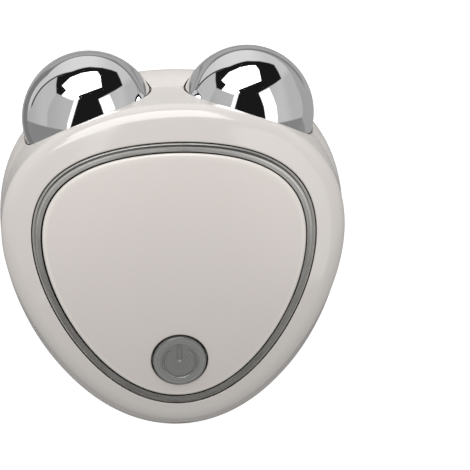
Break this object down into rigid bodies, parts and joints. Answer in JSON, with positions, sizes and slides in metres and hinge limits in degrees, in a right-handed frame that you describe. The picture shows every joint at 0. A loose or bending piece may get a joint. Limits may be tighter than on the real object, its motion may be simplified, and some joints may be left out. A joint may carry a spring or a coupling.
{
  "type": "facial toning device",
  "caption": "Egg-shaped hand-held facial massager: chrome roller balls at the head, a satin front panel in a trim ring and a round power button.",
  "frame": {"origin": "centre of the device's footprint, at the height of the flat land on its back", "axes": "+Z out of the front panel, +Y towards the two balls, +X to the right when the panel faces the viewer"},
  "size_m": [0.0896, 0.0977, 0.044],
  "materials": {
    "white_gloss": "moulded, high gloss",
    "satin_panel": "satin, very slightly warm grey",
    "trim_metal": "satin silver",
    "button_metal": "finely spun satin face",
    "chrome": "mirror plating",
    "brass": "turned",
    "steel": "plain",
    "dark_plastic": "black engineering plastic",
    "board_green": "laminate with green resist",
    "ceramic_tan": "ceramic",
    "foam_grey": "foam",
    "cell_foil": "foil pouch",
    "lead_red": "insulated wire",
    "lead_white": "insulated wire"
  },
  "bodies": {
    "housing": {"front_housing": "white_gloss", "back_housing": "white_gloss", "front_panel": "satin_panel", "trim_ring": "trim_metal", "tact_switch": "steel", "switch_board": "board_green", "main_board": "board_green", "usb_socket": "steel", "controller_chip": "dark_plastic", "boost_coil": "dark_plastic", "board_capacitors": "ceramic_tan", "battery_pad": "foam_grey", "battery": "cell_foil", "battery_leads": "lead_red", "switch_leads": "lead_white", "housing_screws": "steel", "board_screws": "steel", "left_outer_bushing": "dark_plastic", "left_inner_bushing": "dark_plastic", "left_contact_spring": "brass", "left_electrode_lead": "lead_red", "right_outer_bushing": "dark_plastic", "right_inner_bushing": "dark_plastic", "right_contact_spring": "brass", "right_electrode_lead": "lead_red"},
    "left_roller": {"left_ball": "chrome", "left_hub": "brass", "left_axle": "steel", "left_axle_clip": "steel"},
    "right_roller": {"right_ball": "chrome", "right_hub": "brass", "right_axle": "steel", "right_axle_clip": "steel"},
    "button": {"power_button": "button_metal", "switch_plunger": "dark_plastic"}
  },
  "joints": [
    {"name": "left_ball_spin", "type": "hinge", "parent": "housing", "child": "left_roller", "pos_m": [-0.0203, 0.0316, 0.02], "axis": [-0.4051, 0.9143, 0], "continuous": true},
    {"name": "right_ball_spin", "type": "hinge", "parent": "housing", "child": "right_roller", "pos_m": [0.0203, 0.0316, 0.02], "axis": [0.4051, 0.9143, 0], "continuous": true},
    {"name": "power_button_press", "type": "slide", "parent": "housing", "child": "button", "axis": [0, 0.4403, -0.8978], "range_m": [0, 0.0004], "stiffness_N_per_m": 400}
  ]
}
